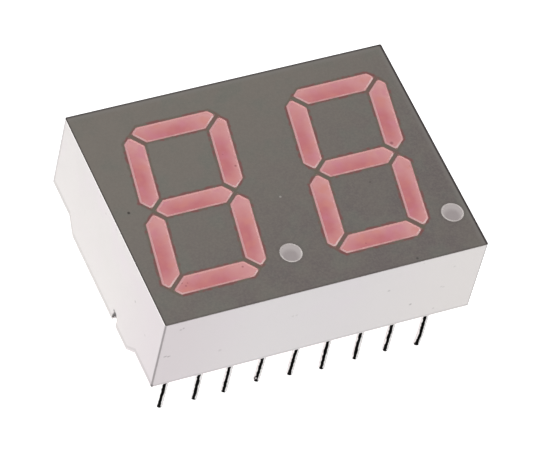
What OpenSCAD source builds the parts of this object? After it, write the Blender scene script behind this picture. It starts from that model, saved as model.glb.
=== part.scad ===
// Two-digit seven segment display for through-hole mounting, 14.2 mm digit class.
//
// A white moulded reflector holds sixteen light cups: seven bars and a decimal point for each
// digit. The cups are cast full of resin over a light emitting die each, the dice stand on a
// circuit board that closes the back, and sealing resin covers the board. Eighteen round pins
// in two rows carry it. The two end walls reach lower than the long walls and are its feet.
//
// Frame: the origin is the middle of the pin pattern, on the plane that the feet stand on.
// +X is the reading direction, +Y points up the digits and +Z out of the face.

/* [Grid] */
// Hole grid of the circuit board that the display is soldered to, and pitch of the pins
pin_pitch = 2.54; // [2.3:0.01:2.8]
// Space left between two displays that stand side by side on the grid
stack_clearance = 0.4; // [0.1:0.05:0.8]
// Distance from a row of pins out to the outer face of the long wall beside it
row_inset = 1.88; // [1.75:0.01:2.5]

/* [Housing] */
// Depth of the long walls, from the moulded face down to their rim
skirt_depth = 7.35; // [6:0.05:9]
// Thickness of the four outer walls
wall_t = 1; // [0.8:0.05:1.1]
// Radius of the four upright outer corners
corner_r = 0.1; // [0.05:0.01:0.4]
// Radius of the upright corners of the recess in the back
recess_r = 0.3; // [0.1:0.05:0.6]

/* [Feet] */
// How far the end walls reach below the rim of the long walls
foot_drop = 1.2; // [0.9:0.05:1.6]
// Length of the flat underside of a foot
foot_l = 10.4; // [8:0.1:12]
// Run of the sloped shoulder at the lower end of the digits
shoulder_front = 1.2; // [0.6:0.05:1.6]
// Run of the sloped shoulder at the upper end of the digits
shoulder_back = 1; // [0.4:0.05:1.6]
// Width of the slot through the foot under the first digit
notch_w = 0.7; // [0.5:0.05:1.5]
// Height of that slot
notch_h = 0.85; // [0.4:0.05:1]
// Distance of that slot from the middle of the foot
notch_offset = 2.8; // [2:0.05:3.5]

/* [Face] */
// Thickness of the ink on the face
ink_t = 0.05; // [0.03:0.01:0.1]
// White plastic left bare round each light cup
ink_setback = 0.08; // [0.04:0.01:0.12]
// Radius of the corners of the windows
window_r = 0.15; // [0.05:0.01:0.2]

/* [Digits] */
// Width of an upright digit over its outer edges
digit_w = 7.95; // [7.2:0.05:8.8]
// Height of a digit over its outer edges
digit_h = 14.6; // [13:0.1:16]
// How far the middle of the digits lies below the middle of the face
digit_drop = 0.05; // [0:0.01:0.2]
// Lean of the digits in degrees
slant = 9.6; // [7:0.1:12]
// Width of a bar
stroke = 1.46; // [1.3:0.01:1.7]
// Width of the web of plastic between two bars
segment_gap = 0.33; // [0.3:0.01:0.55]
// Leg of the corner cut from the digit's outer ring
corner_cut = 1.2; // [0.9:0.05:1.4]
// Diameter of a decimal point
point_d = 1.67; // [1.4:0.01:1.8]
// Distance from the middle of a decimal point to where the next digit's share of the face begins
point_inset = 1.5; // [1.3:0.05:1.7]
// Height of the middle of a decimal point above the lower edge of its digit
point_rise = 1.18; // [0.9:0.01:1.5]

/* [Light cups] */
// Upright lip of a cup under the face
lip_h = 0.5; // [0.3:0.05:1]
// Width of a bar's cup at the board
cup_base_w = 0.9; // [0.8:0.05:1.1]
// Length of a bar's cup at the board
cup_base_l = 1.6; // [1.5:0.05:2.5]
// Diameter of a decimal point's cup at the board
point_base_d = 1.25; // [1.2:0.01:1.3]

/* [Circuit board] */
// Thickness of the board
board_t = 1; // [0.8:0.1:1.6]
// Clearance between the board and the housing walls
board_clear = 0.12; // [0.05:0.01:0.2]
// Thickness of each copper layer
copper_t = 0.04; // [0.03:0.005:0.07]
// Width of the tracks
track_w = 0.15; // [0.1:0.01:0.18]
// Diameter of the copper pads round the pins
pad_d = 1; // [0.85:0.05:1.2]
// Diameter of the plated holes that join both layers
via_d = 0.2; // [0.12:0.01:0.28]
// Thickness of the sealing resin under the board
fill_t = 0.6; // [0.55:0.05:1]
// Step from the rim of the long walls up to the sealing resin
fill_recess = 0.15; // [0.05:0.05:0.4]
// Height of the solder cone round each pin
solder_h = 0.35; // [0.2:0.05:0.4]

/* [Light emitting dice] */
// Edge of a die
die_w = 0.3; // [0.2:0.01:0.35]
// Height of a die
die_h = 0.25; // [0.15:0.01:0.35]
// Edge of the pad that a die stands on
die_pad_w = 0.4; // [0.36:0.01:0.5]
// Diameter of the pad that a bond wire lands on
landing_d = 0.34; // [0.3:0.01:0.36]
// Distance from the middle of a die to its bond wire's landing
bond_reach = 0.5; // [0.48:0.01:0.56]
// Diameter of a bond wire
wire_d = 0.05; // [0.03:0.01:0.08]

/* [Pins] */
// Diameter of a pin
pin_d = 0.5; // [0.4:0.01:0.54]
// Diameter of a pin's shank, in the board and the resin
shank_d = 0.6; // [0.56:0.01:0.7]
// Length of shank that shows below the sealing resin
shank_show = 0.3; // [0.25:0.05:0.6]
// How far the pins reach below the feet
pin_reach = 4.9; // [3:0.05:8]
// Height of the cone at a pin's tip
tip_h = 0.12; // [0.05:0.01:0.3]
// Diameter of a pin's end face
tip_d = 0.32; // [0.2:0.01:0.38]

/* [Hidden] */
$fn = 48;
OVER = 1;
CORNER_STEPS = 3;
PINS_PER_ROW = 9;
PITCHES_PER_DIGIT = 5;
PITCHES_BETWEEN_ROWS = 6;

// The face is shared out in whole pitches, so that displays stand side by side without a break
digit_pitch = PITCHES_PER_DIGIT * pin_pitch;
row_pitch = PITCHES_BETWEEN_ROWS * pin_pitch;
body_w = 2 * digit_pitch - stack_clearance;
body_h = row_pitch + 2 * row_inset;

// Heights, upward from the underside of the feet
rim_z = foot_drop;
fill_z = rim_z + fill_recess;
board_z = fill_z + fill_t;
board_top_z = board_z + board_t;
floor_z = board_top_z + copper_t;
mould_z = rim_z + skirt_depth;
lip_z = mould_z - lip_h;
collar_z = fill_z - shank_show;

recess_w = body_w - 2 * wall_t;
recess_h = body_h - 2 * wall_t;

// The light sources of a digit: seven bars, each one of three shapes mirrored into its place,
// and the decimal point
LEDS = ["a", "b", "c", "d", "e", "f", "g", "point"];
POINT = 7;
SHAPES = ["top", "side", "side", "top", "side", "side", "middle"];
MIRRORED = [[1, 1], [1, 1], [1, -1], [1, -1], [-1, -1], [-1, 1], [1, 1]];

// The digits, with the pin of each light source in the order of LEDS, the pin of the side that
// all of them share, and the light source that this last pin's track runs to
DIGITS = ["tens", "units"];
LED_PINS = [[16, 15, 3, 2, 1, 18, 17, 4], [11, 10, 8, 6, 5, 12, 7, 9]];
COMMON_PINS = [14, 13];
COMMON_LEDS = [1, 5];

// Tracks of the shared side, from light source to light source
LINKS = [[0, 1], [1, 6], [2, 6], [4, 6], [5, 6], [3, 4], [2, POINT]];

function lens_name(digit, led) =
    led == POINT ? str(DIGITS[digit], "_point") : str(DIGITS[digit], "_segment_", LEDS[led]);
function die_name(digit, led) = str(DIGITS[digit], "_die_", LEDS[led]);
function pin_name(number) = str("pin_", number);

// ---- Places ----

// Middle of a digit
function digit_at(digit) = [(digit - 0.5) * digit_pitch, -digit_drop];

// A point of an upright digit, leaned over and put on the face
function on_face(digit, p) = digit_at(digit) + [p.x + p.y * tan(slant), p.y];

// Middle of a light source on an upright digit
function upright_middle(led) =
    let (w = digit_w / 2, h = digit_h / 2, s = stroke, tips = mitre_shift(0) + side_top(0))
    SHAPES[led] == "top" ? [0, h - s / 2]
    : SHAPES[led] == "side" ? [w - s / 2, tips / 2]
    : [0, 0];

// Middle of a decimal point on the face
function point_at(digit) = digit_at(digit) + [digit_pitch / 2 - point_inset, point_rise - digit_h / 2];

// Middle of a light source on the face
function led_at(digit, led) =
    let (p = upright_middle(led), side = MIRRORED[led])
    led == POINT ? point_at(digit) : on_face(digit, [p.x * side.x, p.y * side.y]);

// Direction in which a light source's cup is long, in degrees from the reading direction
function led_turn(led) = SHAPES[led] == "side" ? 90 - slant : 0;

// Landing of a light source's bond wire
function landing_at(digit, led) =
    led_at(digit, led) - bond_reach * [cos(led_turn(led)), sin(led_turn(led))];

// Place of a pin: 1 to 9 along the lower row, then 10 to 18 back along the upper row
function pin_at(number) =
    let (lower = number <= PINS_PER_ROW, column = lower ? number - 1 : 2 * PINS_PER_ROW - number)
    [(column - (PINS_PER_ROW - 1) / 2) * pin_pitch, (lower ? -0.5 : 0.5) * row_pitch];

// ---- Outlines of the bars, on an upright digit, each edge drawn in by inset ----

// Shift along an axis that a 45 degree mitre takes from half the web and from the inset
function mitre_shift(inset) = segment_gap / sqrt(2) + inset * sqrt(2);

// Leg of the cut corner, after its edge and both its neighbours are drawn in
function cut_leg(inset) = corner_cut - (2 - sqrt(2)) * inset;

// Height at which a side bar ends, at its outer corner
function side_top(inset) = digit_h / 2 - inset - (cut_leg(inset) + mitre_shift(inset)) / 2;

function top_half(inset) =
    let (w = digit_w / 2 - inset, h = digit_h / 2 - inset, s = stroke - 2 * inset)
    let (m = mitre_shift(inset), c = cut_leg(inset))
    [[w - c, h], [w - (c + m) / 2, h - (c - m) / 2], [w - s - m, h - s]];

function middle_half(inset) =
    let (w = digit_w / 2 - inset, s = stroke - 2 * inset, m = mitre_shift(inset))
    [[w - s - m, s / 2], [w - s / 2 - m, 0], [w - s - m, -s / 2]];

function side_bar(inset) =
    let (w = digit_w / 2 - inset, h = digit_h / 2 - inset, s = stroke - 2 * inset)
    let (m = mitre_shift(inset), c = cut_leg(inset))
    [
        [w, h - c],
        [w - (c - m) / 2, side_top(inset)],
        [w - s, h - s - m],
        [w - s, m + s / 2],
        [w - s / 2, m],
        [w, m + s / 2]
    ];

// A half outline closed by its mirror image
function both_halves(half) = concat(half, [for (k = [len(half) - 1:-1:0]) [-half[k].x, half[k].y]]);

function upright_outline(led, inset) =
    SHAPES[led] == "top" ? both_halves(top_half(inset))
    : SHAPES[led] == "side" ? side_bar(inset)
    : both_halves(middle_half(inset));

function unit(v) = v / norm(v);

// The corner b between a and c, as points along an arc
function arc_corner(a, b, c, r) =
    let (u = unit(a - b), v = unit(c - b), half = acos(u * v) / 2)
    let (middle = b + unit(u + v) * r / sin(half))
    let (first = b + u * r / tan(half) - middle, last = b + v * r / tan(half) - middle)
    [for (k = [0:CORNER_STEPS]) middle + r * unit(first + (last - first) * k / CORNER_STEPS)];

function rounded(points, r) =
    let (n = len(points))
    [for (k = [0:n - 1]) each arc_corner(points[(k + n - 1) % n], points[k], points[(k + 1) % n], r)];

// Outline of a bar on the face
function bar_outline(digit, led, inset) =
    let (side = MIRRORED[led])
    rounded(
        [for (p = upright_outline(led, inset)) on_face(digit, [p.x * side.x, p.y * side.y])],
        window_r
    );

// ---- Flat shapes ----

// A rectangle with round corners
module plate(w, h, r) {
    square([w - 2 * r, h], center = true);
    square([w, h - 2 * r], center = true);
    for (x = [-1, 1], y = [-1, 1])
        translate([x * (w / 2 - r), y * (h / 2 - r)]) circle(r);
}

// The opening of a light source, drawn in by inset
module window(digit, led, inset) {
    if (led == POINT)
        translate(led_at(digit, led)) circle(d = point_d - 2 * inset);
    else
        polygon(bar_outline(digit, led, inset));
}

// A straight track
module track(from, to) {
    run = to - from;
    translate(from) rotate(atan2(run.y, run.x)) translate([0, -track_w / 2]) square([norm(run), track_w]);
}

// Places its children on a light source, turned along its cup
module on_led(digit, led) {
    p = led_at(digit, led);
    translate([p.x, p.y, floor_z]) rotate(led_turn(led)) children();
}

module for_each_led() {
    for ($digit = [0, 1], $led = [0:POINT])
        children();
}

module for_each_pin() {
    for ($number = [1:2 * PINS_PER_ROW])
        translate(pin_at($number)) children();
}

// ---- Light cups ----

// Section of a funnel: half widths base at the board and wide at the lip, both slopes carried
// on past the ends
function funnel(base, wide) =
    let (rate = (wide - base) / (lip_z - floor_z), rise = mould_z + OVER - floor_z)
    let (low = base - rate * OVER, high = base + rate * rise)
    [[-low, -OVER], [low, -OVER], [high, rise], [-high, rise]];

// Half the length of a bar from tip to tip, along the bar
function half_length(led) =
    let (m = mitre_shift(ink_setback), w = digit_w / 2, c = cut_leg(ink_setback))
    SHAPES[led] == "top" ? w - ink_setback - (c + m) / 2
    : SHAPES[led] == "side" ? (side_top(ink_setback) - m) / 2 / cos(slant)
    : w - stroke / 2 - m;

// Half the width of a bar, square to its length
function half_width(led) =
    (stroke / 2 - ink_setback) * (SHAPES[led] == "side" ? cos(slant) : 1);

// Space of a bar's cup. over carries it past both ends, for cutting.
module bar_cup(digit, led, over) {
    reach = digit_h;
    intersection() {
        translate([0, 0, floor_z - over])
            linear_extrude(mould_z - floor_z + 2 * over) window(digit, led, ink_setback);
        on_led(digit, led) rotate([90, 0, 90])
            linear_extrude(reach, center = true) polygon(funnel(cup_base_w / 2, half_width(led)));
        on_led(digit, led) rotate([90, 0, 0])
            linear_extrude(reach, center = true) polygon(funnel(cup_base_l / 2, half_length(led)));
    }
}

// Space of a decimal point's cup
module point_cup(digit, over) {
    mouth = point_d / 2 - ink_setback;
    profile = [
        [0, floor_z - over],
        [point_base_d / 2, floor_z - over],
        [point_base_d / 2, floor_z],
        [mouth, lip_z],
        [mouth, mould_z + over],
        [0, mould_z + over]
    ];
    translate(led_at(digit, POINT)) rotate_extrude() polygon(profile);
}

module light_cup(digit, led, over = 0) {
    if (led == POINT)
        point_cup(digit, over);
    else
        bar_cup(digit, led, over);
}

// ---- Electrical pieces, as bare shapes ----

module die_shape() {
    translate([-die_w / 2, -die_w / 2, 0]) cube([die_w, die_w, die_h]);
}

// Half a ring from the top of the die, then straight down to the landing
module wire_shape() {
    translate([-bond_reach / 2, 0, die_h]) rotate([90, 0, 0])
        rotate_extrude(angle = 180) translate([bond_reach / 2, 0]) circle(d = wire_d);
    translate([-bond_reach, 0, 0]) cylinder(h = die_h, d = wire_d);
}

// Copper on the side of the dice: their pads, the landings and the shared tracks
module front_copper() {
    for_each_led() {
        translate(led_at($digit, $led)) rotate(led_turn($led)) square(die_pad_w, center = true);
        translate(landing_at($digit, $led)) circle(d = landing_d);
    }
    for (digit = [0, 1]) {
        for (link = LINKS)
            track(led_at(digit, link[0]), led_at(digit, link[1]));
        track(led_at(digit, COMMON_LEDS[digit]), pin_at(COMMON_PINS[digit]));
        translate(pin_at(COMMON_PINS[digit])) circle(d = pad_d);
    }
}

// Copper on the back: a pad round each pin and a track to it from each landing
module back_copper() {
    difference() {
        union() {
            for_each_pin() circle(d = pad_d);
            for_each_led() {
                translate(landing_at($digit, $led)) circle(d = landing_d);
                track(landing_at($digit, $led), pin_at(LED_PINS[$digit][$led]));
            }
        }
        for_each_pin() circle(d = shank_d);
    }
}

// Solder round a shank of the given bore, hanging from the back copper
module solder_cone(bore) {
    high = board_z - copper_t;
    low = high - solder_h;
    rotate_extrude() polygon([
        [bore / 2, high],
        [pad_d / 2 - copper_t, high],
        [shank_d / 2 + copper_t, low],
        [bore / 2, low]
    ]);
}

// ---- Sub-parts ----

// Everything below the rim of the long walls that isn't foot, as one section for each side
module beside_foot(side, run) {
    rotate([90, 0, 90]) linear_extrude(body_w + 2 * OVER, center = true) polygon([
        [side * body_h, -OVER],
        [side * foot_l / 2, -OVER],
        [side * foot_l / 2, 0],
        [side * (foot_l / 2 + run), rim_z],
        [side * body_h, rim_z]
    ]);
}

module reflector_housing() {
    color([0.93, 0.92, 0.91]) difference() {
        linear_extrude(mould_z) plate(body_w, body_h, corner_r);
        translate([0, 0, -OVER]) linear_extrude(floor_z + OVER) plate(recess_w, recess_h, recess_r);
        beside_foot(-1, shoulder_front);
        beside_foot(1, shoulder_back);
        translate([-body_w / 2 - OVER, -notch_offset - notch_w / 2, -OVER])
            cube([wall_t + 2 * OVER, notch_w, notch_h + OVER]);
        for_each_led() light_cup($digit, $led, OVER);
    }
}

module face_ink() {
    color([0.43, 0.42, 0.4]) translate([0, 0, mould_z]) linear_extrude(ink_t) difference() {
        plate(body_w, body_h, corner_r);
        for_each_led() window($digit, $led, 0);
    }
}

// The resin that fills one light cup round its die and bond wire
module lens(digit, led) {
    tint = led == POINT ? [0.8, 0.77, 0.76] : [0.86, 0.5, 0.52];
    color(tint) difference() {
        light_cup(digit, led);
        on_led(digit, led) die_shape();
        on_led(digit, led) wire_shape();
    }
}

module die(digit, led) {
    color([0.55, 0.35, 0.3]) on_led(digit, led) die_shape();
}

module bond_wires() {
    color([0.9, 0.7, 0.3]) for_each_led() on_led($digit, $led) wire_shape();
}

module board_outline() {
    plate(recess_w - 2 * board_clear, recess_h - 2 * board_clear, recess_r);
}

module circuit_board() {
    color([0.75, 0.72, 0.5]) translate([0, 0, board_z]) linear_extrude(board_t) difference() {
        board_outline();
        for_each_pin() circle(d = shank_d);
        for_each_led() translate(landing_at($digit, $led)) circle(d = via_d);
    }
}

module copper_tracks() {
    color([0.8, 0.5, 0.3]) {
        translate([0, 0, board_top_z]) linear_extrude(copper_t) front_copper();
        translate([0, 0, board_z - copper_t]) linear_extrude(copper_t) back_copper();
        for_each_led() translate(concat(landing_at($digit, $led), board_z)) cylinder(h = board_t, d = via_d);
    }
}

module solder_joints() {
    color([0.75, 0.76, 0.78]) for_each_pin() solder_cone(shank_d);
}

// Fills the recess round and under the board, up to the floor of the light cups
module sealing_resin() {
    color([0.85, 0.62, 0.6]) difference() {
        translate([0, 0, fill_z]) linear_extrude(floor_z - fill_z) plate(recess_w, recess_h, recess_r);
        translate([0, 0, board_z]) linear_extrude(board_t) board_outline();
        translate([0, 0, board_top_z]) linear_extrude(copper_t + OVER) front_copper();
        translate([0, 0, board_z - copper_t]) linear_extrude(2 * copper_t) back_copper();
        for_each_pin() {
            translate([0, 0, fill_z - OVER]) cylinder(h = board_z + copper_t - fill_z + OVER, d = shank_d);
            solder_cone(0);
        }
    }
}

module pin(number) {
    color([0.35, 0.35, 0.36]) translate(pin_at(number)) rotate_extrude() polygon([
        [0, -pin_reach],
        [tip_d / 2, -pin_reach],
        [pin_d / 2, tip_h - pin_reach],
        [pin_d / 2, collar_z],
        [shank_d / 2, collar_z],
        [shank_d / 2, board_top_z],
        [0, board_top_z]
    ]);
}

reflector_housing();
face_ink();
circuit_board();
copper_tracks();
solder_joints();
bond_wires();
sealing_resin();
for (digit = [0, 1], led = [0:POINT]) {
    lens(digit, led);
    die(digit, led);
}
for (number = [1:2 * PINS_PER_ROW])
    pin(number);
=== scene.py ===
"""Looks of a two-digit seven segment display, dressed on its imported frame.

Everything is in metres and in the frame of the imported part: the origin is the middle of the
pin pattern on the plane of the feet, +X is the reading direction, +Y points up the digits and
+Z out of the face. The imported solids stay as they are. The ink is rebuilt on its own outline
with its windows printed a little off, a bead of plastic is added round every light cup, the
front row's pins are bent a little, and one of them gets a burr of tin.
"""

import logging
import math
from dataclasses import dataclass, field
from enum import Enum
from functools import reduce

import bmesh
import bpy
from mathutils import Matrix, Vector


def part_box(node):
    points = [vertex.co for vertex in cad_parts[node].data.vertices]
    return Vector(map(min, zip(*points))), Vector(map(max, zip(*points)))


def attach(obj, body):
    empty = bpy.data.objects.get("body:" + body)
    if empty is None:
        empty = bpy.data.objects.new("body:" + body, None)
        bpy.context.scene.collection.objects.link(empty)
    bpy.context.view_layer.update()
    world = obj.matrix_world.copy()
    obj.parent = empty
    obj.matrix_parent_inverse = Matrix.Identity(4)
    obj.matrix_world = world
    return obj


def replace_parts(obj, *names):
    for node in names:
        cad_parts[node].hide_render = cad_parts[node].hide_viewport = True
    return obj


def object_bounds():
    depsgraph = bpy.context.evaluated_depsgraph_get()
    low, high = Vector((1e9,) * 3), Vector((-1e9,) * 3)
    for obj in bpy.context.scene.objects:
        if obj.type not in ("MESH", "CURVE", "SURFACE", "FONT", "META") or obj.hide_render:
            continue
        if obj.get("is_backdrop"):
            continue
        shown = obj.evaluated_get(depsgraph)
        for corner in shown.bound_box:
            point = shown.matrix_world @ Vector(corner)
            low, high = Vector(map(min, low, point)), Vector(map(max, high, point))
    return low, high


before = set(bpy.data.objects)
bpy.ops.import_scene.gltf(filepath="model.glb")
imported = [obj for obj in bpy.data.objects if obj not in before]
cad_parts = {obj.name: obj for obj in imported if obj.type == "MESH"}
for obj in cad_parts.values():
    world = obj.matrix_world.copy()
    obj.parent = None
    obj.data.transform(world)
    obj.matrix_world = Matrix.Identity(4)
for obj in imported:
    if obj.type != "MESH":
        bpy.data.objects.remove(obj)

MM = 0.001
WELD = 1e-7

# How far off its true place the ink's pattern is printed.
PRINT_DRIFT = Vector((-0.03, 0.005, 0.0)) * MM

# Marks that a mesh carries for its finish: where a face looks, and how far a pin is bent.
FACING = "facing"
PIN_ASIDE = "pin_aside"
PIN_AHEAD = "pin_ahead"

# Factors that bring a surface's tone into line with the studio's light.
WHITE_SHARE = 0.67
GRIME_AND_SHADE_SHARE = 0.66
INK_SHARE = 0.78
RESIN_SHARE = 0.8

Colour = tuple[float, float, float]
Socket = bpy.types.NodeSocket
Factor = float | Socket
Tint = Colour | Socket
Value = float | Colour | Vector | Socket

log = logging.getLogger("display")


class Digit(Enum):
    """The two digits, by the word that their nodes' names begin with."""

    TENS = "tens"
    UNITS = "units"


class Lie(Enum):
    """How a bar lies on the face, with the bars that lie so."""

    ACROSS = "agd"
    UPRIGHT = "fbec"


@dataclass(frozen=True)
class Ease:
    """A soft change: the values at which it starts and ends, and the results on either side."""

    start: float
    end: float
    low: float = 0.0
    high: float = 1.0


@dataclass(frozen=True)
class Cloud:
    """A cloudy change: the size of its blotches, and how it comes in with the noise."""

    size: float
    ease: Ease
    detail: float = 2.0


@dataclass(frozen=True)
class Texture:
    """Fine unevenness: the size of its bumps, their depth and how broken up they are."""

    size: float
    depth: float
    detail: float = 2.0


@dataclass(frozen=True)
class Depth:
    """How a bar's colour deepens from its side, its end and its start to its middle."""

    side: Ease
    end: Ease
    start: Ease


@dataclass(frozen=True)
class Spot:
    """A single small mark on a surface, in millimetres."""

    x: float
    y: float
    z: float
    radius: float
    strength: float


def times(colour: Colour, share: float) -> Colour:
    """Returns a linear colour made darker or lighter by one factor."""
    return tuple(min(1.0, part * share) for part in colour)


def shade(red: int, green: int, blue: int, share: float = 1.0) -> Colour:
    """Turns a colour as a screen shows it into the linear values that a shader takes.

    Args:
        red: Red, 0 to 255.
        green: Green, 0 to 255.
        blue: Blue, 0 to 255.
        share: Factor on the linear values.

    Returns:
        The three linear values, 0 to 1.
    """
    parts = (red / 255, green / 255, blue / 255)
    linear = tuple(p / 12.92 if p <= 0.04045 else ((p + 0.055) / 1.055) ** 2.4 for p in parts)
    return times(linear, share)


def middle(node: str) -> Vector:
    """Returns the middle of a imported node's box."""
    low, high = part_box(node)
    return (low + high) / 2


def half_width(node: str) -> float:
    """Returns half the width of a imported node's box."""
    low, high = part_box(node)
    return (high.x - low.x) / 2


class Graph:
    """One material's nodes, with a short call for each kind that the finishes use."""

    speck_core: float = 0.4
    spot_core: float = 0.3

    def __init__(self, name: str) -> None:
        """Starts a material with one Principled shader.

        Args:
            name: Name of the material.
        """
        self.material = bpy.data.materials.new(name)
        self.material.use_nodes = True
        self.nodes = self.material.node_tree.nodes
        self.links = self.material.node_tree.links
        self.nodes.clear()
        self.shader = self.nodes.new("ShaderNodeBsdfPrincipled")
        out = self.nodes.new("ShaderNodeOutputMaterial")
        self.links.new(self.shader.outputs["BSDF"], out.inputs["Surface"])

    def feed(self, socket: Socket, value: Value) -> None:
        """Sets an input socket to a constant or links it.

        Args:
            socket: Input to fill.
            value: Number, colour, direction, or output socket.
        """
        if isinstance(value, bpy.types.NodeSocket):
            self.links.new(value, socket)
        elif isinstance(value, tuple) and len(socket.default_value) == 4:
            socket.default_value = (*value, 1.0)
        else:
            socket.default_value = value

    def node(self, kind: str, inputs: dict[str | int, Value], **settings: str) -> bpy.types.NodeOutputs:
        """Adds a node.

        Args:
            kind: Type of the node, as its name goes on after ShaderNode.
            inputs: What goes into it, by the input's name or number.
            **settings: The node's own settings.

        Returns:
            Its outputs.
        """
        node = self.nodes.new(f"ShaderNode{kind}")
        for name, setting in settings.items():
            setattr(node, name, setting)
        for name, value in inputs.items():
            self.feed(node.inputs[name], value)
        return node.outputs

    def surface(self, **inputs: Value) -> bpy.types.Material:
        """Fills the shader's inputs.

        Args:
            **inputs: Values by input name, with _ for each space.

        Returns:
            The finished material.
        """
        for name, value in inputs.items():
            self.feed(self.shader.inputs[name.replace("_", " ")], value)
        return self.material

    # -- Places --

    def place(self) -> Socket:
        """Returns the point in the row frame, in metres."""
        return self.node("TexCoord", {})["Object"]

    def around(self, centre: Vector, turn: float) -> Socket:
        """Returns the point as seen from a centre, with the axes turned about Z, in radians."""
        inputs = {"Vector": self.place(), "Location": centre, "Rotation": (0.0, 0.0, turn)}
        return self.node("Mapping", inputs, vector_type="TEXTURE")["Vector"]

    def axes(self, point: Socket) -> tuple[Socket, Socket, Socket]:
        """Returns the three coordinates of a point."""
        return tuple(self.node("SeparateXYZ", {0: point}))

    def mark(self, name: str, kind: str = "Fac") -> Socket:
        """Returns a mark that the mesh carries: a number, or a direction where kind is Vector."""
        return self.node("Attribute", {}, attribute_name=name)[kind]

    # -- Arithmetic --

    def maths(self, step: str, *values: Factor) -> Socket:
        """Returns the result of one step of a Math node."""
        return self.node("Math", dict(enumerate(values)), operation=step)[0]

    def plus(self, first: Factor, second: Factor) -> Socket:
        """Returns the sum of two values."""
        return self.maths("ADD", first, second)

    def minus(self, first: Factor, second: Factor) -> Socket:
        """Returns the first value less the second."""
        return self.maths("SUBTRACT", first, second)

    def product(self, first: Factor, second: Factor) -> Socket:
        """Returns the product of two values."""
        return self.maths("MULTIPLY", first, second)

    def size(self, value: Factor) -> Socket:
        """Returns a value without its sign."""
        return self.maths("ABSOLUTE", value)

    def least(self, first: Factor, second: Factor) -> Socket:
        """Returns the smaller of two values."""
        return self.maths("MINIMUM", first, second)

    def most(self, *values: Factor) -> Factor:
        """Returns the largest of some values."""
        return reduce(lambda total, value: self.maths("MAXIMUM", total, value), values)

    def length(self, x: Socket, y: Socket) -> Socket:
        """Returns the distance from the origin of two axes."""
        return self.maths("SQRT", self.plus(self.product(x, x), self.product(y, y)))

    def beyond(self, value: Socket, way: int, limit: float) -> Socket:
        """Returns how far a value is above a limit, or below it where way is -1."""
        return self.maths("MULTIPLY_ADD", value, float(way), -way * limit)

    def fade(self, value: Socket, ease: Ease) -> Socket:
        """Eases from one result to another while a value changes.

        Args:
            value: What drives the change.
            ease: The change.

        Returns:
            The eased result.
        """
        ends = {"From Min": ease.start, "From Max": ease.end, "To Min": ease.low, "To Max": ease.high}
        outputs = self.node("MapRange", {"Value": value, **ends}, interpolation_type="SMOOTHSTEP")
        return outputs["Result"]

    # -- Patterns --

    def grain(self, point: Socket, size: float, detail: float) -> Socket:
        """Returns cloudy noise about 0.5, with the size and the detail of its blotches."""
        return self.node("TexNoise", {"Vector": point, "Scale": 1.0 / size, "Detail": detail})["Fac"]

    def cloud(self, point: Socket, cloud: Cloud) -> Socket:
        """Returns a cloudy change over the surface."""
        return self.fade(self.grain(point, cloud.size, cloud.detail), cloud.ease)

    def specks(self, point: Socket, spread: float, radius: float, share: float) -> Socket:
        """Scatters small round specks.

        Args:
            point: Where the surface is.
            spread: Usual distance from speck to speck.
            radius: Radius of a speck.
            share: Share of the places that have one.

        Returns:
            1 on a speck, 0 elsewhere.
        """
        cells = self.node("TexVoronoi", {"Vector": point, "Scale": 1.0 / spread})
        near = self.fade(cells["Distance"], Ease(radius / spread, self.speck_core * radius / spread))
        lot = self.node("SeparateColor", {0: cells["Color"]})[0]
        return self.product(near, self.maths("LESS_THAN", lot, share))

    def spots(self, point: Socket, places: tuple[Spot, ...]) -> Factor:
        """Puts single marks where the surface has them.

        Args:
            point: Where the surface is.
            places: The marks.

        Returns:
            Each mark's strength inside it, 0 elsewhere.
        """
        total: Factor = 0.0
        for spot in places:
            centre = (spot.x * MM, spot.y * MM, spot.z * MM)
            away = self.node("VectorMath", {0: point, 1: centre}, operation="DISTANCE")["Value"]
            edge = Ease(spot.radius * MM, self.spot_core * spot.radius * MM, 0.0, spot.strength)
            total = self.most(total, self.fade(away, edge))
        return total

    def relief(self, height: Socket, depth: float) -> Socket:
        """Returns the normal of a surface that rises by depth where height goes from 0 to 1."""
        return self.node("Bump", {"Height": height, "Distance": depth})["Normal"]

    def bumps(self, point: Socket, texture: Texture) -> Socket:
        """Returns the normal of a surface with a fine texture."""
        return self.relief(self.grain(point, texture.size, texture.detail), texture.depth)

    # -- Colours --

    def blend(self, share: Factor, first: Tint, second: Tint) -> Socket:
        """Returns a mix of two colours, with share of the second."""
        return self.node("Mix", {0: share, 6: first, 7: second}, data_type="RGBA")[2]

    def layers(self, base: Tint, *coats: tuple[Factor, Tint]) -> Tint:
        """Lays colours over each other.

        Args:
            base: The lowest colour.
            *coats: What lies on it, in order, each with how much of it shows.

        Returns:
            The colour that shows.
        """
        for share, tint in coats:
            base = self.blend(share, base, tint)
        return base


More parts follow.
